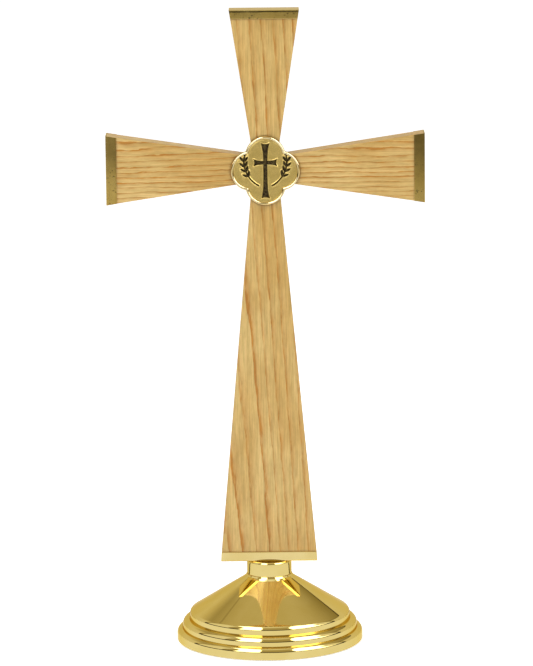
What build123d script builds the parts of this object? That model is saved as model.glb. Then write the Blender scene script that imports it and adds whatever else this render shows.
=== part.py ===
from build123d import *
import math
import os

# Altar cross: two flared oak members, halved together at the crossing, on a turned brass base.
# Millimetres, +Z up. The cross faces -Y. The origin is on the table, under the middle of the base.

# Overall sizes
overall_height = 482.0
arm_reach = 119.2            # from the crossing's centre to the end of each of the three short arms
cross_foot = 62.5            # height of the underside of the cross
arm_end_half = 26.1          # half width of the three short arms at their ends
foot_half = 36.6             # half width of the upright at its foot
oak_thickness = 19.0
oak_half = oak_thickness / 2
crossing_z = overall_height - arm_reach

# Crossing: the four corners where the edges of the two members meet
upper_corner_x = 9.1
upper_corner_rise = 9.5
lower_corner_x = 10.1
lower_corner_drop = 9.7
edge_easing = 0.6            # sanded break on the long edges of the oak

# Brass channels on the four ends
cap_sheet = 1.0
cap_half = oak_half + cap_sheet
cap_bend = 0.9               # outside radius of the two folds
top_cap_depth = 6.6
side_cap_depth = 8.0
bottom_cap_depth = 7.3

# Medallion
medallion_drop = 0.9         # its centre sits a little below the crossing's
lobe_radius = 15.0
lobe_offset = 11.0
cusp_radius = 0.8
medallion_thickness = 3.0
medallion_rim = 1.9
rim_rounding = 0.8
field_recess = 0.7
emblem_recess = 0.9
emblem_half_height = 17.5
emblem_flare = 2.6           # half width at the ends of the emblem's cross
emblem_stem = 1.1            # half width where its arms meet
emblem_arm_z = 5.0
emblem_arm_reach = 6.8
spray_x = 12.4
leaf_pairs = 4
leaf_pitch = 5.0
leaf_spread = 1.7
leaf_lean = 38.0
leaf_half_width = 0.85
leaf_half_length = 2.3
stud_radius = 1.2
stud_length = 7.0
stud_spacing = 26.0
stud_clearance = 0.1
stud_end_room = 0.5

# Tie rod and what is on it
rod_radius = 4.0
rod_clearance = 0.25
thread_clearance = 0.05
rod_hole = rod_radius + rod_clearance
rod_bottom = 5.8
rod_top = 82.0
rod_end_chamfer = 0.8
insert_radius = 6.35
insert_length = 20.0
insert_flange_radius = 7.5
insert_flange = 1.2
rod_end_room = 12.0
rod_below_nut = 1.9
nut_across_flats = 13.0
nut_height = 6.5
nut_corner_break = 0.8
lock_washer_radius = 7.4
lock_washer_thickness = 2.0
lock_washer_gap = 1.4
lock_washer_clearance = 0.1
flat_washer_radius = 12.0
flat_washer_thickness = 1.6

# Turned base and neck
base_radius = 70.7
shell_sheet = 1.2
rim_z = 0.6                  # the felt stands this far below the shell's rim
step_radii = (base_radius, 66.4, 60.9)
step_tops = (9.8, 16.9, 22.6)
step_roundings = (3.6, 3.6, 3.8)
cone_head = (19.3, 48.8)
boss_radius = 17.9
boss_top = 51.4
collar_radius = 17.0
collar_wall = 2.6
collar_web = 2.5
collar_rounding = 1.6

# Inside and under the base
felt_radius = 68.0
felt_thickness = 1.8
felt_edge = 0.4
board_radius = 68.4
board_thickness = 3.0
weight_radius = 57.0
weight_rim_height = 10.0
weight_shoulder = (38.0, 27.0)
weight_hub_radius = 12.0
weight_hub_flare = 16.0
pocket_radius = 14.0

# Heights of the stack under the weight
weight_bottom = felt_thickness + board_thickness
nut_bottom = rod_bottom + rod_below_nut
lock_washer_bottom = nut_bottom + nut_height
flat_washer_bottom = lock_washer_bottom + lock_washer_thickness
pocket_roof = flat_washer_bottom + flat_washer_thickness
weight_top = boss_top - shell_sheet

# The front of the cross is seen in the XZ plane: sketch X is +X, sketch Y is +Z, and the normal is -Y.
middle = Plane.XZ
crossing = middle.shift_origin((0, 0, crossing_z))
medallion_centre = middle.shift_origin((0, 0, crossing_z - medallion_drop))


def long_edges(part, end_axis):
    """The edges of the front and back faces that run along a member, without those at its two ends."""
    face_edges = part.faces().sort_by(Axis.Y)[0].edges() + part.faces().sort_by(Axis.Y)[-1].edges()
    return face_edges.sort_by(end_axis)[2:-2]


# The area where the two members are halved into each other
with BuildSketch(crossing) as lap:
    Polygon(
        (lower_corner_x, -lower_corner_drop),
        (upper_corner_x, upper_corner_rise),
        (-upper_corner_x, upper_corner_rise),
        (-lower_corner_x, -lower_corner_drop),
        align=None,
    )

# Upright: the full outline, then the ends cut back for the caps, the lap and the holes
with BuildPart() as upright:
    with BuildSketch(middle):
        with BuildLine():
            right_side = Polyline(
                (foot_half, cross_foot),
                (lower_corner_x, crossing_z - lower_corner_drop),
                (upper_corner_x, crossing_z + upper_corner_rise),
                (arm_end_half, overall_height),
            )
            mirror(right_side, about=Plane.YZ)
            Line(right_side @ 1, (-arm_end_half, overall_height))
            Line(right_side @ 0, (-foot_half, cross_foot))
        make_face()
    extrude(amount=oak_half, both=True)
    fillet(long_edges(upright, Axis.Z), edge_easing)
    split(bisect_by=Plane.XY.offset(overall_height - cap_sheet), keep=Keep.BOTTOM)
    split(bisect_by=Plane.XY.offset(cross_foot + cap_sheet), keep=Keep.TOP)
    # The back half makes way for the crossbar
    extrude(lap.sketch, amount=-oak_half, mode=Mode.SUBTRACT)
    # Stepped hole in the foot: flange seat, insert body, room for the rod's end
    with BuildSketch(Plane.XY.offset(cross_foot + cap_sheet)):
        Circle(insert_flange_radius)
    extrude(amount=insert_flange, mode=Mode.SUBTRACT)
    with BuildSketch(Plane.XY.offset(cross_foot + cap_sheet)):
        Circle(insert_radius)
    extrude(amount=insert_length, mode=Mode.SUBTRACT)
    with BuildSketch(Plane.XY.offset(cross_foot + cap_sheet)):
        Circle(rod_hole)
    extrude(amount=insert_length + rod_end_room, mode=Mode.SUBTRACT)
    # Two blind holes in the front for the medallion's studs
    with BuildSketch(medallion_centre.offset(oak_half)):
        with GridLocations(0, stud_spacing, 1, 2):
            Circle(stud_radius + stud_clearance)
    extrude(amount=-(stud_length + stud_end_room), mode=Mode.SUBTRACT)

# Crossbar: its front half is notched over the upright
with BuildPart() as crossbar:
    with BuildSketch(crossing):
        with BuildLine():
            upper_side = Polyline(
                (arm_reach, arm_end_half),
                (upper_corner_x, upper_corner_rise),
                (0, upper_corner_rise),
            )
            lower_side = Polyline(
                (arm_reach, -arm_end_half),
                (lower_corner_x, -lower_corner_drop),
                (0, -lower_corner_drop),
            )
            Line(upper_side @ 0, lower_side @ 0)
            mirror(upper_side, about=Plane.YZ)
            mirror(lower_side, about=Plane.YZ)
            Line((-arm_reach, arm_end_half), (-arm_reach, -arm_end_half))
        make_face()
    extrude(amount=oak_half, both=True)
    fillet(long_edges(crossbar, Axis.X), edge_easing)
    split(bisect_by=Plane.YZ.offset(arm_reach - cap_sheet), keep=Keep.BOTTOM)
    split(bisect_by=Plane.YZ.offset(cap_sheet - arm_reach), keep=Keep.TOP)
    extrude(lap.sketch, amount=oak_half, mode=Mode.SUBTRACT)


def end_cap(end_plane, half_width, taper, depth):
    """Folded brass channel over one end of the cross.

    The plane's origin is the middle of the end, its Y points out of the end, its normal is -Y of the cross.
    The taper is how much half width is lost for each millimetre of depth.
    """
    with BuildPart() as channel:
        with BuildSketch(end_plane):
            Polygon(
                (-half_width, 0),
                (half_width, 0),
                (half_width - taper * depth, -depth),
                (taper * depth - half_width, -depth),
                align=None,
            )
        extrude(amount=cap_half, both=True)
        with BuildSketch(end_plane):
            with Locations((0, -cap_sheet)):
                Rectangle(2 * half_width, depth, align=(Align.CENTER, Align.MAX))
        extrude(amount=oak_half, both=True, mode=Mode.SUBTRACT)
        outward = Axis(end_plane.origin, end_plane.y_dir)
        folds = channel.edges().filter_by(Axis((0, 0, 0), end_plane.x_dir)).group_by(outward)[-1]
        fillet(folds, cap_bend)
    return channel


arm_taper = (arm_end_half - upper_corner_x) / (arm_reach - upper_corner_rise)
foot_taper = (foot_half - lower_corner_x) / (crossing_z - lower_corner_drop - cross_foot)
bar_taper = (arm_end_half - upper_corner_rise) / (arm_reach - upper_corner_x)
toward_front = (0, -1, 0)

top_end = Plane(origin=(0, 0, overall_height), x_dir=(1, 0, 0), z_dir=toward_front)
left_end = Plane(origin=(-arm_reach, 0, crossing_z), x_dir=(0, 0, 1), z_dir=toward_front)
right_end = Plane(origin=(arm_reach, 0, crossing_z), x_dir=(0, 0, -1), z_dir=toward_front)
bottom_end = Plane(origin=(0, 0, cross_foot), x_dir=(-1, 0, 0), z_dir=toward_front)

top_cap = end_cap(top_end, arm_end_half, arm_taper, top_cap_depth)
left_cap = end_cap(left_end, arm_end_half, bar_taper, side_cap_depth)
right_cap = end_cap(right_end, arm_end_half, bar_taper, side_cap_depth)

with BuildPart() as bottom_cap:
    add(end_cap(bottom_end, foot_half, foot_taper, bottom_cap_depth).part)
    with Locations(Plane.XY.offset(cross_foot)):
        Hole(rod_hole)

# Medallion: a quatrefoil plate with a raised rim and a sunk emblem, a flared cross between two sprays
front_face = medallion_centre.offset(oak_half)
field_plane = medallion_centre.offset(oak_half + medallion_thickness - field_recess)

with BuildPart() as medallion:
    with BuildSketch(front_face) as quatrefoil:
        with PolarLocations(lobe_offset, 4):
            Circle(lobe_radius)
        fillet(quatrefoil.vertices(), cusp_radius)
    extrude(amount=medallion_thickness)
    fillet(medallion.faces().sort_by(Axis.Y)[0].edges(), rim_rounding)
    with BuildSketch(field_plane) as field:
        with PolarLocations(lobe_offset, 4):
            Circle(lobe_radius - medallion_rim)
    extrude(amount=field_recess, mode=Mode.SUBTRACT)
    with BuildSketch(field_plane):
        # Flared cross
        with BuildLine():
            cross_side = Polyline(
                (0, emblem_half_height),
                (emblem_flare, emblem_half_height),
                (emblem_stem, emblem_arm_z + emblem_stem),
                (emblem_arm_reach, emblem_arm_z + emblem_flare),
                (emblem_arm_reach, emblem_arm_z - emblem_flare),
                (emblem_stem, emblem_arm_z - emblem_stem),
                (emblem_flare, -emblem_half_height),
                (0, -emblem_half_height),
            )
            mirror(cross_side, about=Plane.YZ)
        make_face()
        # Two sprays of paired leaves
        with GridLocations(2 * spray_x, leaf_pitch, 2, leaf_pairs):
            with Locations(Location((-leaf_spread, 0, 0), (0, 0, leaf_lean))):
                Ellipse(leaf_half_width, leaf_half_length)
            with Locations(Location((leaf_spread, 0, 0), (0, 0, -leaf_lean))):
                Ellipse(leaf_half_width, leaf_half_length)
    extrude(amount=-emblem_recess, mode=Mode.SUBTRACT)

# Studs soldered to the back of the medallion
with BuildPart() as medallion_studs:
    with BuildSketch(front_face):
        with GridLocations(0, stud_spacing, 1, 2):
            Circle(stud_radius)
    extrude(amount=-stud_length)

# Base shell: the half section is turned about Z and then hollowed to sheet thickness from below
with BuildPart() as base_shell:
    with BuildSketch(Plane.XZ) as shell_section:
        with BuildLine():
            Polyline(
                (0, rim_z),
                (step_radii[0], rim_z),
                (step_radii[0], step_tops[0]),
                (step_radii[1], step_tops[0]),
                (step_radii[1], step_tops[1]),
                (step_radii[2], step_tops[1]),
                (step_radii[2], step_tops[2]),
                cone_head,
                (boss_radius, boss_top),
                (0, boss_top),
                close=True,
            )
        make_face()
        for radius, top, rounding in zip(step_radii, step_tops, step_roundings):
            fillet(shell_section.vertices().sort_by_distance((radius, top, 0))[0], rounding)
    revolve(axis=Axis.Z)
    offset(amount=-shell_sheet, openings=base_shell.faces().sort_by(Axis.Z)[0])
    Hole(rod_hole)

# Neck collar: a turned cup, open below, that spaces the cross off the base
with BuildPart() as neck_collar:
    with BuildSketch(Plane.XY.offset(boss_top)):
        Circle(collar_radius)
    extrude(amount=cross_foot - boss_top)
    fillet(neck_collar.edges().sort_by(Axis.Z)[-1], collar_rounding)
    with BuildSketch(Plane.XY.offset(boss_top)):
        Circle(collar_radius - collar_wall)
    extrude(amount=cross_foot - boss_top - collar_web, mode=Mode.SUBTRACT)
    with Locations((0, 0, cross_foot)):
        Hole(rod_hole)

# Cast weight: a ring, a cone and a hub that reaches up to the underside of the shell
with BuildPart() as base_weight:
    with BuildSketch(Plane.XZ):
        with BuildLine():
            Polyline(
                (rod_hole, pocket_roof),
                (pocket_radius, pocket_roof),
                (pocket_radius, weight_bottom),
                (weight_radius, weight_bottom),
                (weight_radius, weight_bottom + weight_rim_height),
                weight_shoulder,
                (weight_hub_flare, weight_shoulder[1]),
                (weight_hub_radius, weight_top),
                (rod_hole, weight_top),
                close=True,
            )
        make_face()
    revolve(axis=Axis.Z)

# Hardware on the centre line
with BuildPart() as tie_rod:
    with BuildSketch(Plane.XY.offset(rod_bottom)):
        Circle(rod_radius)
    extrude(amount=rod_top - rod_bottom)
    chamfer(tie_rod.edges().filter_by(GeomType.CIRCLE), rod_end_chamfer)

with BuildPart() as threaded_insert:
    with BuildSketch(Plane.XY.offset(cross_foot + cap_sheet)):
        Circle(insert_flange_radius)
    extrude(amount=insert_flange)
    with BuildSketch(Plane.XY.offset(cross_foot + cap_sheet)):
        Circle(insert_radius)
    extrude(amount=insert_length)
    with Locations((0, 0, cross_foot + cap_sheet)):
        Hole(rod_radius + thread_clearance)

with BuildPart() as rod_nut:
    with BuildSketch(Plane.XY.offset(nut_bottom)):
        RegularPolygon(nut_across_flats / 2, 6, major_radius=False)
    extrude(amount=nut_height)
    # The corners are turned off at both ends
    with BuildSketch(Plane.XZ) as turned:
        with Locations((0, nut_bottom)):
            Rectangle(nut_across_flats / math.sqrt(3), nut_height, align=(Align.MIN, Align.MIN))
        chamfer(turned.vertices().group_by(Axis.X)[-1], nut_corner_break)
    revolve(axis=Axis.Z, mode=Mode.INTERSECT)
    Hole(rod_radius + thread_clearance)

with BuildPart() as lock_washer:
    with BuildSketch(Plane.XY.offset(lock_washer_bottom)):
        Circle(lock_washer_radius)
        Circle(rod_radius + lock_washer_clearance, mode=Mode.SUBTRACT)
        Rectangle(lock_washer_radius, lock_washer_gap, align=(Align.MIN, Align.CENTER), mode=Mode.SUBTRACT)
    extrude(amount=lock_washer_thickness)

with BuildPart() as flat_washer:
    with BuildSketch(Plane.XY.offset(flat_washer_bottom)):
        Circle(flat_washer_radius)
        Circle(rod_hole, mode=Mode.SUBTRACT)
    extrude(amount=flat_washer_thickness)

# Closing disc and felt
with BuildPart() as bottom_board:
    with BuildSketch(Plane.XY.offset(felt_thickness)):
        Circle(board_radius)
    extrude(amount=board_thickness)

with BuildPart() as felt_pad:
    with BuildSketch(Plane.XY):
        Circle(felt_radius)
    extrude(amount=felt_thickness)
    fillet(felt_pad.edges().sort_by(Axis.Z)[0], felt_edge)

pieces = {
    "upright": upright,
    "crossbar": crossbar,
    "top_cap": top_cap,
    "left_cap": left_cap,
    "right_cap": right_cap,
    "bottom_cap": bottom_cap,
    "medallion": medallion,
    "medallion_studs": medallion_studs,
    "neck_collar": neck_collar,
    "base_shell": base_shell,
    "base_weight": base_weight,
    "tie_rod": tie_rod,
    "threaded_insert": threaded_insert,
    "rod_nut": rod_nut,
    "lock_washer": lock_washer,
    "flat_washer": flat_washer,
    "bottom_board": bottom_board,
    "felt_pad": felt_pad,
}

os.makedirs("parts", exist_ok=True)
for name, piece in pieces.items():
    piece.part.label = name
    export_step(piece.part, f"parts/{name}.step")
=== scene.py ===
import math

import bmesh
import bpy
import numpy as np
from mathutils import Matrix, noise, Vector


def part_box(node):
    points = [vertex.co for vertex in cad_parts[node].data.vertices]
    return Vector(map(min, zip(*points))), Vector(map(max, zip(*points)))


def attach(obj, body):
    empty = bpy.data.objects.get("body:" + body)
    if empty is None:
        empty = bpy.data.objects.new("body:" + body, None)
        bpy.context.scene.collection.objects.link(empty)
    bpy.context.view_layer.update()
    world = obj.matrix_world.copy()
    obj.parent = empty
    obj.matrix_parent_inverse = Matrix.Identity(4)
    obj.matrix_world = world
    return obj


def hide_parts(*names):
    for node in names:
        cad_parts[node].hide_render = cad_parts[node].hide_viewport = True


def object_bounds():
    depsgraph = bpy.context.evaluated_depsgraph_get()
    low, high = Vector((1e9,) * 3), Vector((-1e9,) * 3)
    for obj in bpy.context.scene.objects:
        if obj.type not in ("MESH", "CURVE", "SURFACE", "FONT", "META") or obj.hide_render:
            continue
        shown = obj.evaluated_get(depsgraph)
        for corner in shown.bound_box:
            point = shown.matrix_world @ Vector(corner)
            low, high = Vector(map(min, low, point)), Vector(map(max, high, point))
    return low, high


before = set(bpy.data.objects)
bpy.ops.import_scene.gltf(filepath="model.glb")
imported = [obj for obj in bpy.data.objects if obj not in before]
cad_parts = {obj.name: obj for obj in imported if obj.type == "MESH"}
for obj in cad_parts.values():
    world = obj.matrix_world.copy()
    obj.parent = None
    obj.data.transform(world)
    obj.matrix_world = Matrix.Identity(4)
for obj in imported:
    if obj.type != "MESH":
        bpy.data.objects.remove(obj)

# Altar cross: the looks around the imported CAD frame. Shapes are written in millimetres and made in metres.
MM = 0.001
cad_low, cad_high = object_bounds()


# ---------------------------------------------------------------------------------------------------------
# Places, from the frame
# ---------------------------------------------------------------------------------------------------------

def box_mm(node):
    """Lowest and highest corner of a CAD node in millimetres."""
    low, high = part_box(node)
    return low / MM, high / MM


left_cap_low, left_cap_high = box_mm("left_cap")
medallion_low, medallion_high = box_mm("medallion")
collar_low, collar_high = box_mm("neck_collar")
shell_low, shell_high = box_mm("base_shell")
felt_low, felt_high = box_mm("felt_pad")

crossing_z = (left_cap_low.z + left_cap_high.z) / 2
medallion_z = (medallion_low.z + medallion_high.z) / 2


# ---------------------------------------------------------------------------------------------------------
# Mesh helpers
# ---------------------------------------------------------------------------------------------------------

def make_piece(name, points_mm, faces):
    """A mesh object from points in millimetres."""
    mesh = bpy.data.meshes.new(name)
    mesh.from_pydata([tuple(MM * c for c in p) for p in points_mm], [], faces)
    mesh.validate()
    made = bpy.data.objects.new(name, mesh)
    bpy.context.scene.collection.objects.link(made)
    return made


def shade(piece, sharp_degrees=40):
    """Smooth shading with sharp edges where faces meet at more than the angle, and normals outward."""
    bm = bmesh.new()
    bm.from_mesh(piece.data)
    bmesh.ops.recalc_face_normals(bm, faces=bm.faces)
    for face in bm.faces:
        face.smooth = True
    for edge in bm.edges:
        edge.smooth = edge.calc_face_angle(0) < math.radians(sharp_degrees)
    bm.to_mesh(piece.data)
    bm.free()


def rounded(corners, steps=10):
    """A polyline through (x, y, radius) corners, with each corner turned into an arc of its radius."""
    line = []
    for i, (x, y, radius) in enumerate(corners):
        here = Vector((x, y))
        if radius == 0 or i in (0, len(corners) - 1):
            line.append(here)
            continue
        back = (Vector(corners[i - 1][:2]) - here).normalized()
        ahead = (Vector(corners[i + 1][:2]) - here).normalized()
        half_angle = back.angle(ahead) / 2
        reach = radius / math.tan(half_angle)
        centre = here + (back + ahead).normalized() * (radius / math.sin(half_angle))
        start = here + back * reach - centre
        turn = start.angle_signed(here + ahead * reach - centre)
        for k in range(steps + 1):
            line.append(centre + Matrix.Rotation(-turn * k / steps, 2) @ start)
    return line


def spaced(line, longest):
    """The same polyline with its straight runs divided, so that no edge is longer than asked."""
    fine = [line[0]]
    for a, b in zip(line, line[1:]):
        count = max(1, math.ceil((b - a).length / longest))
        fine += [a.lerp(b, (k + 1) / count) for k in range(count)]
    return fine


def lathe(name, loop, segments=256):
    """Turns a closed loop of (radius, height) points about Z."""
    points, faces = [], []
    for s in range(segments):
        angle = 2 * math.pi * (s + 0.5) / segments
        points += [(r * math.cos(angle), r * math.sin(angle), z) for r, z in loop]
    count = len(loop)
    for s in range(segments):
        a, b = s * count, (s + 1) % segments * count
        faces += [(a + i, b + i, b + (i + 1) % count, a + (i + 1) % count) for i in range(count)]
    return make_piece(name, points, faces)


# ---------------------------------------------------------------------------------------------------------
# Material helpers
# ---------------------------------------------------------------------------------------------------------

class Shader:
    """Short calls that build one node tree."""

    def __init__(self, tree):
        self.tree = tree

    def put(self, socket, value):
        if isinstance(value, bpy.types.NodeSocket):
            self.tree.links.new(value, socket)
        else:
            socket.default_value = value

    def node(self, kind, inputs=None, **settings):
        made = self.tree.nodes.new(kind)
        for key, value in settings.items():
            setattr(made, key, value)
        for key, value in (inputs or {}).items():
            self.put(made.inputs[key], value)
        return made

    def math(self, operation, a, b=0.0, clamp=False):
        return self.node("ShaderNodeMath", {0: a, 1: b}, operation=operation, use_clamp=clamp).outputs[0]

    def vector(self, operation, a, b):
        return self.node("ShaderNodeVectorMath", {0: a, 1: b}, operation=operation).outputs[0]

    def length(self, a):
        return self.node("ShaderNodeVectorMath", {0: a}, operation="LENGTH").outputs["Value"]

    def split(self, a):
        return self.node("ShaderNodeSeparateXYZ", {0: a}).outputs

    def join(self, x, y, z):
        return self.node("ShaderNodeCombineXYZ", {0: x, 1: y, 2: z}).outputs[0]

    def noise(self, vector, scale=1.0, detail=2.0, roughness=0.5, output="Fac"):
        inputs = {"Vector": vector, "Scale": scale, "Detail": detail, "Roughness": roughness}
        return self.node("ShaderNodeTexNoise", inputs).outputs[output]

    def spread(self, value, low, high, to_low=0.0, to_high=1.0, smooth=True):
        """Maps low..high to to_low..to_high, clamped."""
        kind = "SMOOTHSTEP" if smooth else "LINEAR"
        inputs = {"Value": value, "From Min": low, "From Max": high, "To Min": to_low, "To Max": to_high}
        return self.node("ShaderNodeMapRange", inputs, interpolation_type=kind).outputs[0]

    def ramp(self, fac, stops, interpolation="LINEAR"):
        made = self.node("ShaderNodeValToRGB", {0: fac})
        made.color_ramp.interpolation = interpolation
        elements = made.color_ramp.elements
        while len(elements) < len(stops):
            elements.new(0.5)
        for element, (place, colour) in zip(elements, stops):
            element.position = place
            element.color = (*colour, 1)
        return made.outputs[0]

    def mix(self, fac, a, b, blend="MIX"):
        made = self.node("ShaderNodeMix", data_type="RGBA", blend_type=blend)
        self.put(made.inputs[0], fac)
        for socket, value in ((made.inputs[6], a), (made.inputs[7], b)):
            self.put(socket, value if isinstance(value, bpy.types.NodeSocket) else (*value, 1))
        return made.outputs[2]

    def coordinates_mm(self):
        place = self.node("ShaderNodeTexCoord").outputs["Object"]
        return self.vector("MULTIPLY", place, (1 / MM, 1 / MM, 1 / MM))

    def bump(self, height, depth_mm, strength=1.0):
        inputs = {"Strength": strength, "Distance": depth_mm * MM, "Height": height}
        return self.node("ShaderNodeBump", inputs).outputs[0]


def new_material(name, **constants):
    """A material with its constant shader values set on the shader's own sockets."""
    material = bpy.data.materials.new(name)
    material.use_nodes = True
    shader = Shader(material.node_tree)
    surface = material.node_tree.nodes["Principled BSDF"]
    for key, value in constants.items():
        surface.inputs[key.replace("_", " ").title().replace("Ior", "IOR")].default_value = value
    return material, shader, surface


# ---------------------------------------------------------------------------------------------------------
# Materials
# ---------------------------------------------------------------------------------------------------------

OAK_PALE = (0.565, 0.392, 0.132)
OAK_STRAW = (0.475, 0.295, 0.072)
OAK_STREAK = (0.385, 0.150, 0.006)
OAK_PORE = (0.22, 0.10, 0.02)


def oak(name, along, pith, ring_width, drift, waviness, streak, shift):
    """Clear-finished oak: growth rings about a pith behind the board, earlywood pores and fine fibre.

    along is the axis the grain runs along, pith the tree's centre across and behind the board, drift how far
    the rings lean per millimetre along the grain, waviness how far they wander and streak how strongly the
    earlywood is coloured. Lengths in millimetres.
    """
    material, s, surface = new_material(name, coat_weight=0.20, coat_roughness=0.22)
    x, y, z = s.split(s.coordinates_mm())
    across, run = (x, z) if along == "Z" else (s.math("SUBTRACT", z, crossing_z), x)
    from_pith = s.math("SUBTRACT", across, pith[0])
    grain = s.join(from_pith, s.math("SUBTRACT", y, pith[1]), s.math("ADD", run, shift))
    slow = s.noise(s.vector("MULTIPLY", grain, (1 / 40, 1 / 40, 1 / 160)), output="Color")
    quick = s.noise(s.vector("MULTIPLY", grain, (1 / 7, 1 / 7, 1 / 24)), output="Color")
    fine = s.noise(s.vector("MULTIPLY", grain, (1 / 1.6, 1 / 1.6, 1 / 11)), detail=3, output="Color")
    warped = grain
    for wander, reach in ((slow, 6.0 * waviness), (quick, 1.7 * waviness), (fine, 1.1)):
        centred = s.vector("SUBTRACT", wander, (0.5, 0.5, 0.5))
        warped = s.vector("ADD", warped, s.vector("MULTIPLY", centred, (reach, reach, 0)))
    radius = s.length(s.vector("MULTIPLY", warped, (1, 1, 0)))
    radius = s.math("ADD", radius, s.math("MULTIPLY", s.split(grain)[2], drift))
    uneven = s.noise(s.join(s.math("MULTIPLY", radius, 1 / 16), 0, 0), detail=1)
    rings = s.math("DIVIDE", s.math("ADD", radius, s.math("MULTIPLY", uneven, ring_width)), ring_width)
    place_in_ring = s.math("FRACT", rings)
    ring = s.math("FLOOR", rings)
    ring_depth = s.node("ShaderNodeTexWhiteNoise", {"W": ring}, noise_dimensions="1D").outputs["Value"]
    early = s.ramp(place_in_ring, (
        (0.0, (0.0,) * 3), (0.05, (1.0,) * 3), (0.15, (0.60,) * 3),
        (0.30, (0.22,) * 3), (0.62, (0.06,) * 3), (1.0, (0.0,) * 3),
    ))
    broken = s.noise(s.vector("MULTIPLY", grain, (1 / 2.6, 1 / 2.6, 1 / 18)), detail=3, roughness=0.65)
    band = s.math("MULTIPLY", early, s.spread(ring_depth, 0, 1, 0.50, 1.0))
    band = s.math("MULTIPLY", band, s.spread(broken, 0.30, 0.66, 0.30, 1.15))
    fibre = s.noise(s.vector("MULTIPLY", grain, (1 / 0.75, 1 / 0.75, 1 / 22)), detail=3, roughness=0.7)
    thread = s.noise(s.vector("MULTIPLY", grain, (1 / 2.3, 1 / 2.3, 1 / 55)), detail=2)
    fleck = s.noise(s.vector("MULTIPLY", warped, (1 / 3.2, 1 / 3.2, 1 / 7)), detail=3, roughness=0.6)
    pore_noise = s.noise(s.vector("MULTIPLY", warped, (1 / 0.42, 1 / 0.42, 1 / 6)), detail=1)
    pores = s.math("MULTIPLY", s.spread(pore_noise, 0.58, 0.72), s.spread(early, 0.05, 0.8, 0.22, 1.0))
    cloud = s.noise(s.vector("MULTIPLY", grain, (1 / 22, 1 / 22, 1 / 70)), detail=3)
    colour = s.mix(s.spread(cloud, 0.32, 0.68), OAK_PALE, OAK_STRAW)
    colour = s.mix(s.math("MULTIPLY", band, streak, clamp=True), colour, OAK_STREAK)
    tone = s.math("ADD", s.spread(fibre, 0.28, 0.72, 0.84, 1.14), s.spread(thread, 0.28, 0.72, -0.08, 0.08))
    tone = s.math("ADD", tone, s.spread(fleck, 0.3, 0.7, -0.05, 0.05))
    colour = s.mix(1.0, colour, s.join(tone, tone, s.math("POWER", tone, 1.5)), blend="MULTIPLY")
    colour = s.mix(s.math("MULTIPLY", pores, 0.50), colour, OAK_PORE)
    # Painted shade: the wood darkens where ambient occlusion finds other surfaces close by, in corners and
    # against the caps and medallion.
    occlusion = s.node("ShaderNodeAmbientOcclusion", {"Distance": 1.6 * MM}, samples=6).outputs["AO"]
    painted_corner_shade = s.spread(occlusion, 0.45, 0.95, 0.55, 1.0)
    painted_corner_shade_tint = s.join(painted_corner_shade, s.math("POWER", painted_corner_shade, 1.2), s.math("POWER", painted_corner_shade, 1.6))
    colour = s.mix(1.0, colour, painted_corner_shade_tint, blend="MULTIPLY")
    s.put(surface.inputs["Base Color"], colour)
    s.put(surface.inputs["Roughness"], s.spread(pores, 0, 1, 0.46, 0.72))
    height = s.math("SUBTRACT", s.math("MULTIPLY", fibre, 0.35), pores)
    s.put(surface.inputs["Normal"], s.bump(height, 0.05))
    return material


BRASS_PALE = (0.795, 0.640, 0.250)
BRASS_DEEP = (0.765, 0.605, 0.215)
BRASS_EDGE = (0.90, 0.76, 0.42, 1)     # what brass reflects at a glancing angle
# Dark patina for the medallion's hollows, and the colour of the painted shade on the rim's sides
DARK_PATINA_AND_SHADE = (0.030, 0.022, 0.014)


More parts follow.
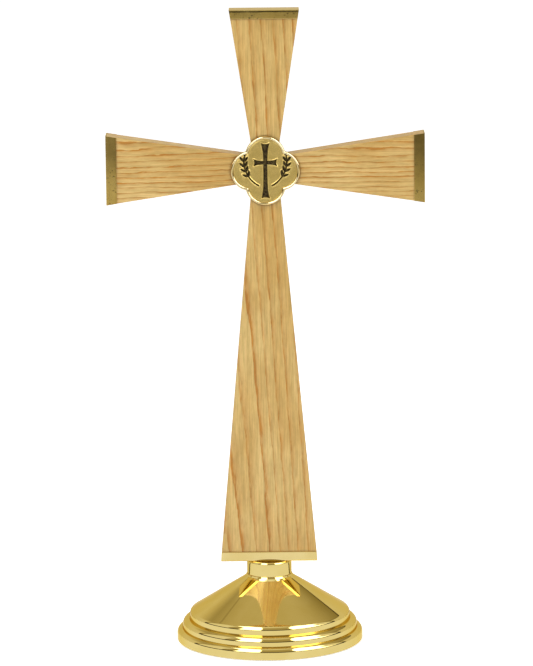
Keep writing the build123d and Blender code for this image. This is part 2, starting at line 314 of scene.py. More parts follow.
def polished_brass(name, pale, deep, rough_low, rough_high, lines, height_darkening=None, painted_contact_shade=None):
    """Buffed brass: two close golds, fine buffing lines and a faint haze.

    lines holds the lengths in millimetres over which the buffing lines repeat along X, Y and Z. The argument
    after it is a triple (height where the colour is bright, height where it's darkest, depth of the
    darkening); it also strews dark specks.
    The last argument holds three places along Y for a painted shade next to the wood: it sets in from the
    first to the second, and at the third, the plate's back, it thins out.
    """
    material, s, surface = new_material(name, metallic=1.0, specular_tint=BRASS_EDGE)
    place = s.coordinates_mm()
    cloud = s.noise(s.vector("MULTIPLY", place, (1 / 16, 1 / 16, 1 / 16)), detail=3)
    colour = s.mix(s.spread(cloud, 0.3, 0.7), pale, deep)
    buffing = s.noise(s.vector("MULTIPLY", place, tuple(1 / d for d in lines)), detail=3, roughness=0.6)
    haze = s.noise(s.vector("MULTIPLY", place, (1 / 7, 1 / 7, 1 / 7)), detail=4, roughness=0.6)
    if height_darkening:
        bright_z, dull_z, depth = height_darkening
        # The colour darkens from the first height to the second, with a random haze and dark specks on top.
        darkening = s.spread(s.split(place)[2], bright_z, dull_z, 0, depth, smooth=False)
        darkening = s.math("ADD", darkening, s.spread(haze, 0.35, 0.75, 0, 0.10))
        cluster = s.noise(s.vector("MULTIPLY", place, (1 / 9, 1 / 9, 1 / 4)), detail=1)
        speck = s.noise(s.vector("MULTIPLY", place, (0.9, 0.9, 0.9)), detail=1)
        specks = s.math("MULTIPLY", s.spread(cluster, 0.46, 0.56), s.spread(speck, 0.61, 0.67))
        dulling = s.math("MAXIMUM", darkening, s.math("MULTIPLY", specks, 0.70))
        colour = s.mix(dulling, colour, (0.060, 0.040, 0.012))
    if painted_contact_shade:
        # Painted shade: the colour darkens along Y towards the wood behind the plate, and thins out again at
        # the back face.
        starts, full, back = painted_contact_shade
        depth = s.split(place)[1]
        thinning = s.spread(depth, back - 0.4, back - 0.1, 1, 0.4)
        patina_and_shade = s.math("MULTIPLY", s.spread(depth, starts, full), thinning)
        patina_and_shade = s.math("MULTIPLY", patina_and_shade, s.spread(haze, 0.3, 0.7, 0.80, 0.95))
        colour = s.mix(patina_and_shade, colour, DARK_PATINA_AND_SHADE)
    s.put(surface.inputs["Base Color"], colour)
    buffed = s.spread(buffing, 0.3, 0.7, rough_low, rough_high)
    rough = s.math("ADD", buffed, s.spread(haze, 0.45, 0.8, 0, 0.04))
    s.put(surface.inputs["Roughness"], rough)
    s.put(surface.inputs["Normal"], s.bump(buffing, 0.002))
    return material


def turned_brass(name, pale, deep):
    """Mirror-buffed turned brass, with the lathe's fine circles about Z."""
    material, s, surface = new_material(name, metallic=1.0, specular_tint=BRASS_EDGE)
    x, y, z = s.split(s.coordinates_mm())
    radius = s.length(s.join(x, y, 0))
    section = s.join(s.math("MULTIPLY", radius, 1 / 0.5), 0, s.math("MULTIPLY", z, 1 / 0.5))
    circles = s.noise(section, detail=3, roughness=0.7)
    cloud = s.noise(s.join(x, y, z), scale=1 / 20, detail=3)
    haze = s.noise(s.join(x, y, z), scale=1 / 5, detail=5, roughness=0.65)
    s.put(surface.inputs["Base Color"], s.mix(s.spread(cloud, 0.35, 0.65), pale, deep))
    rough = s.math("ADD", s.spread(circles, 0.35, 0.65, 0.030, 0.060), s.spread(haze, 0.5, 0.85, 0, 0.04))
    s.put(surface.inputs["Roughness"], rough)
    s.put(surface.inputs["Normal"], s.bump(circles, 0.0006))
    return material


oak_upright = oak(
    "oak_upright", "Z", pith=(-62, 66), ring_width=5.4, drift=0.044, waviness=0.75, streak=1.6, shift=0
)
oak_crossbar = oak(
    "oak_crossbar", "X", pith=(48, 52), ring_width=2.5, drift=0.012, waviness=1.0, streak=2.1, shift=700
)
base_brass = turned_brass("base_brass", BRASS_PALE, BRASS_DEEP)
RIM_PALE, RIM_DEEP = (0.86, 0.745, 0.46), (0.82, 0.69, 0.39)
# The rim's sides get a painted shade next to the wood.
rim_brass = polished_brass(
    "rim_brass", RIM_PALE, RIM_DEEP, 0.06, 0.12, (3, 3, 3),
    painted_contact_shade=(medallion_low.y + 1.1, medallion_low.y + 1.9, medallion_high.y),
)
CAP_PALE, CAP_DEEP = (0.80, 0.645, 0.285), (0.76, 0.595, 0.235)
CAP_LINES_X, CAP_LINES_Z = (22, 2, 2), (2, 2, 22)
# The top, left and right caps darken towards their tops and carry dark specks.
top_cap_brass = polished_brass("top_cap_brass", CAP_PALE, CAP_DEEP, 0.10, 0.17, CAP_LINES_X, (400, 482, 0.22))
foot_cap_brass = polished_brass("foot_cap_brass", CAP_PALE, CAP_DEEP, 0.04, 0.08, CAP_LINES_X)
left_cap_brass = polished_brass(
    "left_cap_brass", CAP_PALE, CAP_DEEP, 0.10, 0.17, CAP_LINES_Z, (crossing_z - 16, crossing_z + 10, 0.52)
)
right_cap_brass = polished_brass(
    "right_cap_brass", CAP_PALE, CAP_DEEP, 0.10, 0.17, CAP_LINES_Z, (crossing_z - 26, crossing_z + 14, 0.66)
)


def medallion_field():
    """Satin cast brass, with a dark patina in whatever lies deeper than the field."""
    material, s, surface = new_material("medallion_field", metallic=1.0, specular_tint=BRASS_EDGE)
    place = s.coordinates_mm()
    depth = s.split(place)[1]
    field_y = medallion_low.y + FIELD_DROP
    patina_and_shade = s.spread(depth, field_y + 0.12, field_y + 0.50)
    grit = s.noise(place, scale=3.2, detail=4, roughness=0.7)
    cloud = s.noise(place, scale=1 / 6, detail=3)
    gold = s.mix(s.spread(cloud, 0.3, 0.7), (0.73, 0.56, 0.205), (0.65, 0.49, 0.165))
    tooth = s.spread(s.noise(place, scale=2.2, detail=3, roughness=0.7), 0.3, 0.7, 0.80, 1.12)
    gold = s.mix(1.0, gold, s.join(tooth, tooth, tooth), blend="MULTIPLY")
    stain = s.spread(s.noise(place, scale=0.9, detail=4), 0.35, 0.65, 0.86, 1.0)
    colour = s.mix(s.math("MULTIPLY", patina_and_shade, stain), gold, DARK_PATINA_AND_SHADE)
    s.put(surface.inputs["Base Color"], colour)
    rough = s.math("ADD", s.spread(grit, 0.3, 0.7, 0.34, 0.44), s.math("MULTIPLY", patina_and_shade, 0.25))
    s.put(surface.inputs["Roughness"], rough)
    s.put(surface.inputs["Normal"], s.bump(grit, 0.02, 0.6))
    return material


def plain_metal(name, dark, light, roughness, grain_mm, depth_mm, metallic=1.0):
    """Cast or plated metal with a mottled surface."""
    material, s, surface = new_material(name, metallic=metallic)
    grain = s.noise(s.coordinates_mm(), scale=1 / grain_mm, detail=5, roughness=0.65)
    s.put(surface.inputs["Base Color"], s.mix(s.spread(grain, 0.3, 0.7), dark, light))
    s.put(surface.inputs["Roughness"], s.spread(grain, 0.3, 0.7, roughness - 0.06, roughness + 0.08))
    s.put(surface.inputs["Normal"], s.bump(grain, depth_mm))
    return material


def hardboard():
    """Pressed brown fibre board."""
    material, s, surface = new_material("hardboard")
    place = s.coordinates_mm()
    flecks = s.noise(place, scale=1.1, detail=5, roughness=0.7)
    brown = s.ramp(flecks, ((0.3, (0.10, 0.05, 0.025)), (0.7, (0.30, 0.17, 0.09))))
    s.put(surface.inputs["Base Color"], brown)
    s.put(surface.inputs["Roughness"], s.spread(flecks, 0.3, 0.7, 0.55, 0.75))
    s.put(surface.inputs["Normal"], s.bump(flecks, 0.05))
    return material


def felt():
    """Pressed wool felt: matted fibres in two close greens."""
    material, s, surface = new_material("felt", sheen_weight=0.6, sheen_roughness=0.5)
    place = s.coordinates_mm()
    curl = s.noise(place, scale=0.5, detail=2, output="Color")
    matted = s.vector("ADD", place, s.vector("MULTIPLY", curl, (5, 5, 5)))
    fibres = s.noise(s.vector("MULTIPLY", matted, (2.4, 0.7, 2.4)), detail=5, roughness=0.8)
    green = s.mix(s.spread(fibres, 0.3, 0.7), (0.012, 0.060, 0.034), (0.040, 0.145, 0.085))
    s.put(surface.inputs["Base Color"], green)
    s.put(surface.inputs["Roughness"], s.spread(fibres, 0.3, 0.7, 0.85, 1.0))
    s.put(surface.inputs["Normal"], s.bump(fibres, 0.15))
    return material


# ---------------------------------------------------------------------------------------------------------
# Turned base and collar
# ---------------------------------------------------------------------------------------------------------

SHEET = 1.2
BORE = 4.25                  # radius of the hole for the tie rod
UPPER_STEP, MIDDLE_STEP = 60.9, 66.4           # radii of the two upper steps
UPPER_TOP, MIDDLE_TOP, LOWER_TOP = 22.6, 16.9, 9.8     # heights of the three steps
rim_z = shell_low.z
boss_z = shell_high.z
base_radius = shell_high.x

outer = rounded([
    (BORE, boss_z, 0),
    (17.4, boss_z, 0.35),
    (17.9, boss_z - 1.3, 0.4),
    (19.3, boss_z - 2.6, 0.9),
    (UPPER_STEP, UPPER_TOP, 3.8),
    (UPPER_STEP, MIDDLE_TOP - 0.3, 0),
    (UPPER_STEP + 0.4, MIDDLE_TOP, 0),
    (MIDDLE_STEP, MIDDLE_TOP, 4.2),
    (MIDDLE_STEP, LOWER_TOP - 0.3, 0),
    (MIDDLE_STEP + 0.4, LOWER_TOP, 0),
    (base_radius, LOWER_TOP, 3.8),
    (base_radius, rim_z, 0.85),
    (base_radius - 0.9, rim_z, 0),
])
inner = rounded([
    (base_radius - SHEET, rim_z, 0.3),
    (base_radius - SHEET, LOWER_TOP - SHEET, 2.2),
    (MIDDLE_STEP - SHEET, LOWER_TOP - SHEET, 1.0),
    (MIDDLE_STEP - SHEET, MIDDLE_TOP - SHEET, 2.2),
    (UPPER_STEP - SHEET, MIDDLE_TOP - SHEET, 1.0),
    (UPPER_STEP - SHEET, UPPER_TOP - SHEET, 2.4),
    (18.6, boss_z - 4.2, 1.0),
    (16.6, boss_z - SHEET, 0.4),
    (BORE, boss_z - SHEET, 0),
], steps=6)
base_shell = lathe("base_shell_turned", spaced(outer, 2.0) + inner)
shade(base_shell)

COLLAR_WALL, COLLAR_TOP = 2.6, 2.5
collar_profile = rounded([
    (BORE, collar_high.z, 0),
    (collar_high.x, collar_high.z, 1.6),
    (collar_high.x, collar_low.z, 0.3),
    (collar_high.x - COLLAR_WALL, collar_low.z, 0.3),
    (collar_high.x - COLLAR_WALL, collar_high.z - COLLAR_TOP, 0.4),
    (BORE, collar_high.z - COLLAR_TOP, 0),
])
neck_collar = lathe("neck_collar_turned", spaced(collar_profile, 1.5), segments=192)
shade(neck_collar)


# ---------------------------------------------------------------------------------------------------------
# Folded brass caps
# ---------------------------------------------------------------------------------------------------------

CAP_SHEET = 1.0
LIP_ROUND = 0.42
LIP_FLAT = 0.02              # what the lip's rounding leaves flat at the inside edge
FOLD_ROUND = 0.7
WAVE = 0.05                  # hand-folded sheet is never quite flat
STATIONS = 48


def channel(name, low, high, outward, narrow_half):
    """A folded channel cap. low and high are its CAD box, outward the way its web faces.

    narrow_half is its half width at the open side, where the tapered arm is narrower than at the end.
    """
    half_depth = high.y
    if outward.z:
        depth, wide_half, centre = high.z - low.z, high.x, Vector((0, 0, high.z if outward.z > 0 else low.z))
        width_way = Vector((1, 0, 0))
    else:
        depth, wide_half = high.x - low.x, (high.z - low.z) / 2
        centre = Vector((high.x if outward.x > 0 else low.x, 0, crossing_z))
        width_way = Vector((0, 0, 1))
    inside = half_depth - CAP_SHEET
    # Section in (way in from the end, Y): around the outside from lip to lip, then back inside
    section = rounded([
        (depth, -inside - LIP_FLAT, 0),
        (depth, -half_depth, LIP_ROUND),
        (0, -half_depth, FOLD_ROUND),
        (0, half_depth, FOLD_ROUND),
        (depth, half_depth, LIP_ROUND),
        (depth, inside + LIP_FLAT, 0),
    ], steps=6)
    section = spaced(section, 1.5)
    section += spaced(rounded([
        (depth, inside, 0),
        (CAP_SHEET, inside, 0.15),
        (CAP_SHEET, -inside, 0.15),
        (depth, -inside, 0),
    ], steps=2), 3.0)
    points, faces, count = [], [], len(section)
    for k in range(STATIONS + 1):
        t = 2 * k / STATIONS - 1
        for inward, y in section:
            half = wide_half + (narrow_half - wide_half) * inward / depth
            # The waves only sink below the flat, so that none goes past the box
            wave = WAVE * noise.noise(Vector((t * 2.2, inward * 0.12, y * 0.3)) + centre * 0.1)
            y += -abs(wave) * math.copysign(1, y) if abs(y) > inside else 0
            points.append(centre - outward * inward + width_way * (t * half) + Vector((0, y, 0)))
    for k in range(STATIONS):
        a, b = k * count, (k + 1) * count
        faces += [(a + i, a + (i + 1) % count, b + (i + 1) % count, b + i) for i in range(count)]
    faces.append(tuple(range(count)))
    faces.append(tuple(reversed(range(STATIONS * count, (STATIONS + 1) * count))))
    made = make_piece(name, points, faces)
    bevel = made.modifiers.new("cut_edges", "BEVEL")
    bevel.width = 0.12 * MM
    bevel.segments = 2
    bevel.limit_method = "ANGLE"
    bevel.angle_limit = math.radians(50)
    bevel.harden_normals = False
    shade(made)
    return made


ARM_END_HALF, ARM_WAIST_HALF, ARM_TAPER_LENGTH = 26.1, 9.1, 109.7
FOOT_END_HALF, FOOT_WAIST_HALF, FOOT_TAPER_LENGTH = 36.6, 10.1, 290.6
ARM_TAPER = (ARM_END_HALF - ARM_WAIST_HALF) / ARM_TAPER_LENGTH
FOOT_TAPER = (FOOT_END_HALF - FOOT_WAIST_HALF) / FOOT_TAPER_LENGTH


def narrowed(half, depth, taper):
    """Half width of a tapered member a cap's depth in from its end."""
    return half - taper * depth


up, down = Vector((0, 0, 1)), Vector((0, 0, -1))
left, right = Vector((-1, 0, 0)), Vector((1, 0, 0))
caps = []
for name, node, way, taper in (
    ("top_cap_folded", "top_cap", up, ARM_TAPER),
    ("left_cap_folded", "left_cap", left, ARM_TAPER),
    ("right_cap_folded", "right_cap", right, ARM_TAPER),
    ("bottom_cap_folded", "bottom_cap", down, FOOT_TAPER),
):
    low, high = box_mm(node)
    half = high.x if way.z else (high.z - low.z) / 2
    depth = high.z - low.z if way.z else high.x - low.x
    cap = channel(name, low, high, way, narrowed(half, depth, taper))
    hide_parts(node)
    caps.append(cap)


# ---------------------------------------------------------------------------------------------------------
# Medallion: one relief over a quatrefoil, in polar rings from the outline to the middle
# ---------------------------------------------------------------------------------------------------------

LOBE_RADIUS = 15.0
LOBE_OFFSET = 11.0
RIM = 2.0
FIELD_DROP = 0.80            # the field lies this far behind the rim's crest
RECESS = 0.90
GROOVE = 0.28                # a shallow groove inside the rim
EDGE_HEIGHTS = (0.0, 0.35, 0.9, 1.4)      # up the side, behind the rim
EDGE_ROUND = 1.7             # how far the rim's outer rounding reaches back
RIM_STEPS = 19
SPOKES = 640
RING_PITCH = 0.21


def quatrefoil_radius(angles, inset):
    """Distance from the centre to the outline moved in by inset, for each angle."""
    from_lobe = (angles + math.pi / 4) % (math.pi / 2) - math.pi / 4
    lobe = LOBE_RADIUS - inset
    radius = LOBE_OFFSET * np.cos(from_lobe) + np.sqrt(lobe ** 2 - (LOBE_OFFSET * np.sin(from_lobe)) ** 2)
    for _ in range(10):          # eases the four inner corners
        radius = (np.roll(radius, 1) + 2 * radius + np.roll(radius, -1)) / 4
    return radius


def smooth_step(edge_low, edge_high, value):
    t = np.clip((value - edge_low) / (edge_high - edge_low), 0, 1)
    return t * t * (3 - 2 * t)


def bar_distance(u, v, reach_low, reach_high, waist, flare):
    """Outside distance of a bar along v, splayed from its waist to its ends, which are hollowed."""
    along = np.clip((v - (reach_low + reach_high) / 2) / ((reach_high - reach_low) / 2), -1, 1)
    half = waist + (flare - waist) * np.abs(along) ** 4
    hollow = 0.9 * (1 - np.clip(np.abs(u) / flare, 0, 1) ** 2)
    return np.maximum(np.abs(u) - half, np.maximum(v - reach_high, reach_low - v) + hollow)


def leaf_distance(x, z, centre, angle, half_length, half_width):
    """Outside distance of an almond-shaped leaf."""
    c, s = math.cos(angle), math.sin(angle)
    u = (x - centre[0]) * c + (z - centre[1]) * s
    v = -(x - centre[0]) * s + (z - centre[1]) * c
    arc = (half_length ** 2 - half_width ** 2) / (2 * half_width)
    return np.hypot(u, np.abs(v) + arc) - (arc + half_width)


def emblem_distance(x, z):
    """Outside distance of the sunk emblem: a splayed cross between two ears of corn, mirrored about x = 0."""
    x = np.abs(x)
    distance = np.minimum(
        bar_distance(x, z, -20.8, 20.8, 1.35, 3.1),
        bar_distance(z - 6.2, x, -8.8, 8.8, 1.3, 2.8),
    )
    # The stalk is an arc that starts beside the foot of the cross and stands up through the side lobe
    stalk_centre, stalk_radius = Vector((-4.5, 7.0)), 20.5
    angle = np.arctan2(z - stalk_centre.y, x - stalk_centre.x)
    on_stalk = np.clip(angle, math.radians(-62), math.radians(10))
    nearest_x = stalk_centre.x + stalk_radius * np.cos(on_stalk)
    nearest_z = stalk_centre.y + stalk_radius * np.sin(on_stalk)
    distance = np.minimum(distance, np.hypot(x - nearest_x, z - nearest_z) - 0.42)
    for k, degrees in enumerate((-34, -23, -12, -1)):
        turn = math.radians(degrees)
        foot = stalk_centre + Vector((math.cos(turn), math.sin(turn))) * stalk_radius
        tangent = turn + math.pi / 2
        for side in (-1, 1):
            lean = tangent - side * math.radians(36)
            centre = foot + Vector((math.cos(lean), math.sin(lean))) * 2.6
            distance = np.minimum(distance, leaf_distance(x, z, centre, lean, 2.5, 0.85))
    tip = stalk_centre + Vector((math.cos(math.radians(17)), math.sin(math.radians(17)))) * stalk_radius
    distance = np.minimum(distance, leaf_distance(x, z, tip, math.radians(17) + math.pi / 2, 2.6, 0.85))
    return distance


def medallion_relief():
    """Rings of (x, z, height from the back) arrays, from the back's edge over the rim to the middle."""
    angles = 2 * math.pi * np.arange(SPOKES) / SPOKES
    thickness = medallion_high.y - medallion_low.y
    field = thickness - FIELD_DROP
    rows = []
    for height in EDGE_HEIGHTS:
        inset = 0.25 if height == 0 else 0.0
        radius = quatrefoil_radius(angles, inset)
        rows.append((radius * np.cos(angles), radius * np.sin(angles), np.full(SPOKES, height)))
    for turn in np.linspace(0, math.pi, RIM_STEPS):
        inset = RIM / 2 * (1 - math.cos(turn))
        side_drop = EDGE_ROUND if turn < math.pi / 2 else FIELD_DROP
        height = thickness - side_drop * (1 - math.sin(turn))
        radius = quatrefoil_radius(angles, inset)
        rows.append((radius * np.cos(angles), radius * np.sin(angles), np.full(SPOKES, height)))
    inner_radius = quatrefoil_radius(angles, RIM)
    count = int(inner_radius.max() / RING_PITCH)
    for k in range(1, count):
        radius = inner_radius * (1 - k / count)
        x, z = radius * np.cos(angles), radius * np.sin(angles)
        outside = emblem_distance(x, z)
        sunk = smooth_step(0.18, -0.16, outside)
        grooved = GROOVE * np.exp(-(((inner_radius - radius - 0.30) / 0.30) ** 2))
        lip = 0.30 * np.exp(-(((outside - 0.42) / 0.26) ** 2))
        rows.append((x, z, field + lip * (1 - sunk) - RECESS * sunk - grooved))
    return rows, field, emblem_distance(np.zeros(1), np.zeros(1))[0]


def make_medallion():
    rows, field, middle_distance = medallion_relief()
    points, faces = [], []
    for x, z, height in rows:
        points += [(a, medallion_high.y - h, medallion_z + b) for a, b, h in zip(x, z, height)]
    for r in range(len(rows) - 1):
        for i in range(SPOKES):
            j = (i + 1) % SPOKES
            faces.append((r * SPOKES + i, r * SPOKES + j, (r + 1) * SPOKES + j, (r + 1) * SPOKES + i))
    middle = len(points)
    points.append((0, medallion_high.y - (field - RECESS * (middle_distance < 0)), medallion_z))
    last = (len(rows) - 1) * SPOKES
    faces += [(last + i, last + (i + 1) % SPOKES, middle) for i in range(SPOKES)]
    faces.append(tuple(range(SPOKES)))
    made = make_piece("medallion_cast", points, faces)
    rim_faces = (len(EDGE_HEIGHTS) + RIM_STEPS - 1) * SPOKES
    made.data.materials.append(medallion_field())
    made.data.materials.append(rim_brass)
    back_face = len(faces) - 1
    for polygon in made.data.polygons:
        polygon.material_index = 1 if polygon.index < rim_faces or polygon.index == back_face else 0
    shade(made, 50)
    return made


medallion = make_medallion()


# ---------------------------------------------------------------------------------------------------------
# Felt: a soft-edged disc, a little uneven
# ---------------------------------------------------------------------------------------------------------

def make_felt():
    radius, thickness = felt_high.x, felt_high.z - felt_low.z
    rings = [radius * k / 40 for k in range(1, 41)]
    rows = [(r, 0.0) for r in rings[:-1]]
    for a in np.linspace(0.2, math.pi / 2, 5):
        rows.append((radius - 0.5 + 0.5 * math.sin(a), 0.5 - 0.5 * math.cos(a)))
    rows += [(radius, thickness - 0.3), (radius - 0.15, thickness)]
    segments = 160
    points, faces = [], []
    for r, z in rows:
        for s in range(segments):
            angle = 2 * math.pi * s / segments
            x, y = r * math.cos(angle), r * math.sin(angle)
            matting = 0.10 * (0.5 + 0.5 * noise.noise(Vector((x, y, z)) * 0.35))
            edge = 0.12 * noise.noise(Vector((x, y, 9.0)) * 0.6) if r > radius - 1 else 0
            scale = 1 - abs(edge) / r
            points.append((x * scale, y * scale, felt_low.z + (z + matting if z < thickness / 2 else z)))
    for r in range(len(rows) - 1):
        for i in range(segments):
            j = (i + 1) % segments
            faces.append((r * segments + i, r * segments + j, (r + 1) * segments + j, (r + 1) * segments + i))
    centre = len(points)
    points.append((0, 0, felt_low.z + 0.02))
    faces += [((i + 1) % segments, i, centre) for i in range(segments)]
    top = (len(rows) - 1) * segments
    faces.append(tuple(top + i for i in range(segments)))
    made = make_piece("felt_disc", points, faces)
    shade(made, 60)
    return made


felt_disc = make_felt()


# ---------------------------------------------------------------------------------------------------------
# Materials onto pieces and bodies
# ---------------------------------------------------------------------------------------------------------

def dress(piece, material, slot, *nodes):
    """Gives a new piece its material and body, and hides the CAD nodes it stands for; slot is not used."""
    if material:
        piece.data.materials.append(material)
    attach(piece, "root")
    if nodes:
        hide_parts(*nodes)


def repaint(node, material):
    """A CAD node keeps its mesh and gets a better material."""
    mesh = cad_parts[node].data
    mesh.materials.clear()
    mesh.materials.append(material)


zinc = plain_metal("zinc_plate", (0.50, 0.50, 0.52), (0.66, 0.66, 0.68), 0.34, 1.5, 0.01)
iron = plain_metal("cast_iron", (0.040, 0.040, 0.042), (0.085, 0.083, 0.082), 0.68, 1.2, 0.12, metallic=0.6)
insert_brass = plain_metal("insert_brass", BRASS_DEEP, BRASS_PALE, 0.28, 1.0, 0.01)

for cap, brass in zip(caps, (top_cap_brass, left_cap_brass, right_cap_brass, foot_cap_brass)):
    dress(cap, brass, "cap_brass")
dress(medallion, None, "medallion_brass", "medallion")
dress(base_shell, base_brass, "base_brass", "base_shell")
dress(neck_collar, base_brass, "base_brass", "neck_collar")
dress(felt_disc, felt(), "felt", "felt_pad")
repaint("upright", oak_upright)
repaint("crossbar", oak_crossbar)
repaint("medallion_studs", rim_brass)
repaint("base_weight", iron)
repaint("bottom_board", hardboard())
repaint("threaded_insert", insert_brass)
for node in ("tie_rod", "rod_nut", "lock_washer", "flat_washer"):
    repaint(node, zinc)


# ---------------------------------------------------------------------------------------------------------
# Stage: floor, lights, surroundings and camera
# ---------------------------------------------------------------------------------------------------------

def stage_plane(name, corners, material):
    mesh = bpy.data.meshes.new(name)
    mesh.from_pydata(corners, [], [tuple(range(len(corners)))])
    made = bpy.data.objects.new(name, mesh)
    bpy.context.scene.collection.objects.link(made)
    mesh.materials.append(material)
    return made


def floor_material():
    material, s, surface = new_material(
        "pale_floor", roughness=0.9, specular_ior_level=0.0,
        emission_color=(1, 1, 1, 1), emission_strength=0.52,
    )
    grain = s.noise(s.node("ShaderNodeTexCoord").outputs["Object"], scale=40, detail=3)
    s.put(surface.inputs["Base Color"], s.mix(grain, (0.90, 0.90, 0.90), (0.92, 0.92, 0.92)))
    return material


def card_material(name, level_at):
    """A glow seen only in reflections. level_at turns the shader helper and a place into a level."""
    material = bpy.data.materials.new(name)
    material.use_nodes = True
    tree = material.node_tree
    tree.nodes.remove(tree.nodes["Principled BSDF"])
    s = Shader(tree)
    level = level_at(s, s.split(s.node("ShaderNodeTexCoord").outputs["Object"]))
    glow = s.node("ShaderNodeEmission", {"Color": studio_tint(s, level), "Strength": 1.0})
    s.put(tree.nodes["Material Output"].inputs["Surface"], glow.outputs[0])
    return material


def studio_tint(s, level):
    """The studio is white where it's lit and a warm brown where it's dim."""
    return s.ramp(level, (
        (0.0, (0.0, 0.0, 0.0)), (0.30, (0.32, 0.27, 0.14)),
        (0.62, (0.67, 0.59, 0.38)), (1.0, (1.0, 1.0, 1.0)),
    ))


def table_end_level(s, place):
    """The dim end of the studio, beyond the lit table, toward the camera."""
    away = s.math("MULTIPLY", place[1], -1)
    level = s.spread(away, 1.0, 1.5, 0.85, 0.50)
    return s.math("MULTIPLY", level, s.spread(place[0], -0.5, 0.5, 1.10, 0.86))


def table_level(s, place):
    """The lit table around the cross, brightest along its far edge."""
    return s.math("ADD", s.spread(place[1], -1.0, 0.0, 0.96, 1.0), s.spread(place[1], 0.045, 0.065, 0, 0.45))


def backdrop_foot_level(s, place):
    """The backdrop where it runs onto the table, with a dark gap in front of it."""
    return s.spread(place[1], 0.128, 0.140, 0.10, 0.80)


def card(name, near, far, height, level_at):
    corners = [(-8, near, height), (8, near, height), (8, far, height), (-8, far, height)]
    made = stage_plane(name, corners, card_material(name, level_at))
    for flag in ("camera", "diffuse", "transmission", "shadow", "volume_scatter"):
        setattr(made, "visible_" + flag, False)


TABLE_FRONT, TABLE_EDGE = -1.0, 0.100
stage_plane("floor", [(-9, -9, 0), (9, -9, 0), (9, 12, 0), (-9, 12, 0)], floor_material())
card("table_end", -8.9, TABLE_FRONT, 0.002, table_end_level)
card("table", TABLE_FRONT, TABLE_EDGE, 0.001, table_level)
card("backdrop_foot", TABLE_EDGE, 9.0, 0.002, backdrop_foot_level)


def softbox(name, place, aim, width, height, power):
    light = bpy.data.lights.new(name, "AREA")
    light.shape = "RECTANGLE"
    light.size = width
    light.size_y = height
    light.energy = power
    made = bpy.data.objects.new(name, light)
    made.location = place
    made.rotation_euler = (Vector(aim) - Vector(place)).to_track_quat("-Z", "Y").to_euler()
    made.visible_camera = False
    made.visible_glossy = False
    bpy.context.scene.collection.objects.link(made)


middle = (cad_low + cad_high) / 2
softbox("overhead", (0.0, -0.3, 2.2), middle, 1.6, 1.6, 13)
softbox("key_left", (-1.1, -1.6, 1.9), middle, 0.9, 0.9, 14)
softbox("key_right", (1.2, -1.6, 1.5), middle, 1.2, 1.2, 8)


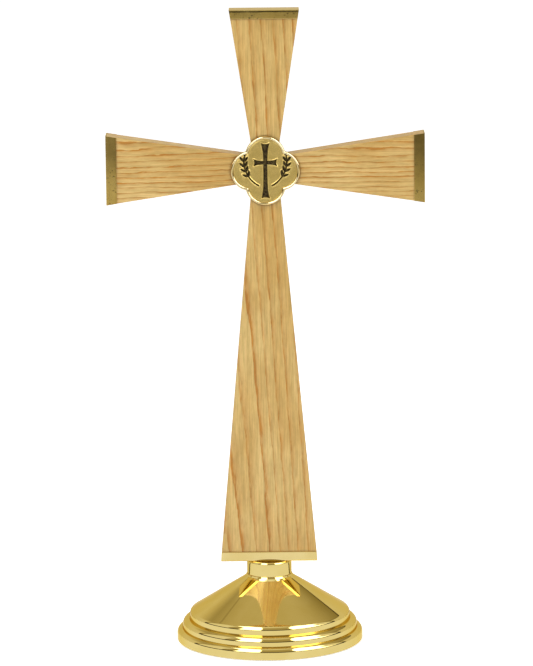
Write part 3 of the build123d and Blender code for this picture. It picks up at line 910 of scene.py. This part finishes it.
def surroundings():
    """White to the camera, even to matte surfaces; in reflections a studio with softboxes and a backdrop.

    Azimuths are in degrees from the front, positive to the right; z is the sine of the elevation.
    """
    world = bpy.data.worlds.new("studio")
    world.use_nodes = True
    bpy.context.scene.world = world
    s = Shader(world.node_tree)
    x, y, z = s.split(s.node("ShaderNodeTexCoord").outputs["Generated"])
    azimuth = s.math("MULTIPLY", s.math("ARCTAN2", x, s.math("MULTIPLY", y, -1)), 180 / math.pi)
    away = s.math("ABSOLUTE", azimuth)

    def window(value, low, high, soft):
        return s.math("MULTIPLY", s.spread(value, low, low + soft), s.spread(value, high - soft, high, 1, 0))

    # The softboxes lean over the cross, so they close in toward the zenith
    sideways = s.math("DIVIDE", x, s.math("SUBTRACT", 1, s.math("MULTIPLY", z, 0.48)))
    box_rise = s.math("MULTIPLY", window(z, 0.15, 0.985, 0.03), s.spread(y, -0.02, 0.02, 1, 0))
    left_box = s.math("MULTIPLY", window(sideways, -0.80, -0.22, 0.05), box_rise)
    right_box = s.math("MULTIPLY", window(sideways, 0.56, 1.10, 0.05), box_rise)
    side_glow = s.math("MULTIPLY", window(away, 60, 104, 4), window(z, 0.16, 0.86, 0.05))
    on_left = s.spread(azimuth, -8, 8, 1, 0)
    on_right = s.math("SUBTRACT", 1, on_left)
    behind = s.spread(away, 106, 108)
    left_sheet = s.math("MULTIPLY", s.spread(z, 0.42, 0.77, 0.74, 0.34), s.spread(z, 0.765, 0.775, 1, 0))
    right_sheet = s.math("MULTIPLY", 0.77, s.spread(z, 0.487, 0.493, 1, 0))
    sheet = s.math("ADD", s.math("MULTIPLY", left_sheet, on_left), s.math("MULTIPLY", right_sheet, on_right))
    left_edge = s.math("MULTIPLY", window(z, 0.77, 0.79, 0.004), 0.25)
    right_edge = s.math("MULTIPLY", window(z, 0.49, 0.515, 0.004), 0.85)
    edge = s.math("ADD", s.math("MULTIPLY", left_edge, on_left), s.math("MULTIPLY", right_edge, on_right))
    ahead = s.spread(away, 50, 80, 0.42, 0.30)
    room = s.math("MAXIMUM", s.spread(z, 0.45, 0.95, 0.28, 0.56), ahead)
    room = s.math("MULTIPLY", room, s.spread(z, 0.17, 0.30, 0.05, 1.0))
    overhead = s.math("MULTIPLY", s.spread(z, 0.90, 0.96), s.spread(y, -0.25, 0.0, 1.2, 0.5))
    level = s.math("MAXIMUM", room, s.math("MULTIPLY", side_glow, 0.9))
    level = s.math("MAXIMUM", level, overhead)
    level = s.math("MAXIMUM", level, s.math("MULTIPLY", sheet, behind))
    level = s.math("MULTIPLY", level, s.math("SUBTRACT", 1, s.math("MULTIPLY", edge, behind)))
    power = s.math("MULTIPLY", s.math("MAXIMUM", left_box, right_box), 4.4)
    glow = s.mix(1.0, studio_tint(s, level), s.join(power, power, power), blend="ADD")
    studio = s.node("ShaderNodeBackground", {"Color": glow, "Strength": 1.0})
    even = s.node("ShaderNodeBackground", {"Color": (1, 1, 1, 1), "Strength": 0.58})
    backing = s.node("ShaderNodeBackground", {"Color": (1, 1, 1, 1), "Strength": 1.0})
    ray = s.node("ShaderNodeLightPath")
    glossy, direct = ray.outputs["Is Glossy Ray"], ray.outputs["Is Camera Ray"]
    reflected = s.node("ShaderNodeMixShader", {0: glossy, 1: even.outputs[0], 2: studio.outputs[0]})
    seen = s.node("ShaderNodeMixShader", {0: direct, 1: reflected.outputs[0], 2: backing.outputs[0]})
    s.put(world.node_tree.nodes["World Output"].inputs["Surface"], seen.outputs[0])


surroundings()

SENSOR = 36.0
camera_data = bpy.data.cameras.new("camera")
camera_data.sensor_width = SENSOR
camera_data.lens = 223.7
camera_data.clip_end = 100
camera = bpy.data.objects.new("camera", camera_data)
camera.location = Vector((-0.37, -3072.0, 796.8)) * MM
pitch_down, roll = math.radians(10.331), math.radians(-0.577)
camera.matrix_world = (
    Matrix.Translation(camera.location)
    @ Matrix.Rotation(math.pi / 2 - pitch_down, 4, "X")
    @ Matrix.Rotation(roll, 4, "Z")
)
bpy.context.scene.collection.objects.link(camera)
bpy.context.scene.camera = camera
bpy.context.scene.view_settings.view_transform = "Standard"
